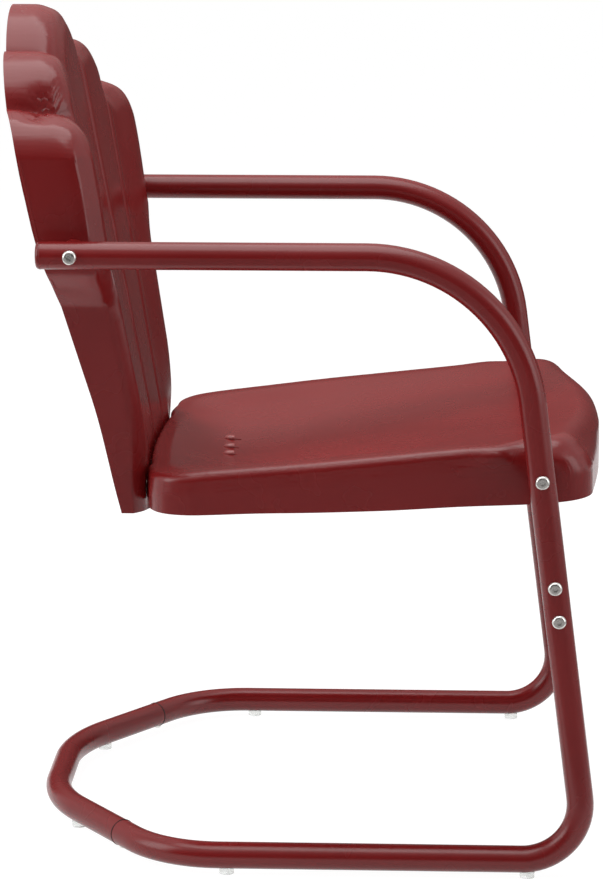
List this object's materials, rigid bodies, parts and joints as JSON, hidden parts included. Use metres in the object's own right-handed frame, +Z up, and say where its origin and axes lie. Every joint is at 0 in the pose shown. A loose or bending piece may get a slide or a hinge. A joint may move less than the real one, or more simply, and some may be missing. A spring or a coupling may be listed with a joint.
{
  "type": "spring lawn chair",
  "caption": "Cantilever lawn chair of bent steel tube with a dished pressed seat and a shell-shaped pressed back of rounded petals.",
  "frame": {"origin": "on the floor, under the middle of the chair's outline", "axes": "+X towards the sitter's left, -Y towards the front of the seat, +Z up"},
  "size_m": [0.5578, 0.6131, 0.849],
  "materials": {
    "red_paint": "satin gloss powder coat, burgundy",
    "zinc_steel": "zinc plated",
    "bare_steel": "bare tube inside the joint",
    "red_plastic": "satin moulded",
    "clear_plastic": "clear, slightly milky"
  },
  "bodies": {
    "base": {"left_leg_tube": "red_paint", "right_leg_tube": "red_paint", "rear_base_tube": "red_paint", "base_joint_screws": "zinc_steel", "left_front_glide": "clear_plastic", "left_middle_glide": "clear_plastic", "left_rear_glide": "clear_plastic", "right_front_glide": "clear_plastic", "right_middle_glide": "clear_plastic", "right_rear_glide": "clear_plastic"},
    "upper": {"seat_pan": "red_paint", "back_shell": "red_paint", "left_arm_tube": "red_paint", "left_splice_sleeve": "bare_steel", "left_arm_end_cap": "red_plastic", "left_back_bolt": "zinc_steel", "left_back_spacer": "red_paint", "left_back_washer": "zinc_steel", "left_back_nut": "zinc_steel", "left_seat_bolt": "zinc_steel", "left_seat_spacer": "red_paint", "left_seat_washer": "zinc_steel", "left_seat_nut": "zinc_steel", "left_splice_bolts": "zinc_steel", "left_splice_washers": "zinc_steel", "left_splice_nuts": "zinc_steel", "right_arm_tube": "red_paint", "right_splice_sleeve": "bare_steel", "right_arm_end_cap": "red_plastic", "right_back_bolt": "zinc_steel", "right_back_spacer": "red_paint", "right_back_washer": "zinc_steel", "right_back_nut": "zinc_steel", "right_seat_bolt": "zinc_steel", "right_seat_spacer": "red_paint", "right_seat_washer": "zinc_steel", "right_seat_nut": "zinc_steel", "right_splice_bolts": "zinc_steel", "right_splice_washers": "zinc_steel", "right_splice_nuts": "zinc_steel", "seat_to_back_bolts": "zinc_steel", "seat_to_back_washers": "zinc_steel", "seat_to_back_nuts": "zinc_steel"}
  },
  "joints": [
    {"name": "frame_spring", "type": "hinge", "parent": "base", "child": "upper", "pos_m": [0, -0.27, 0.09], "axis": [-1, 0, 0], "range_deg": [-1.5, 4], "stiffness_Nm_per_rad": 3200, "springref_deg": -0.24, "deforming": ["left_leg_tube", "right_leg_tube"]}
  ]
}
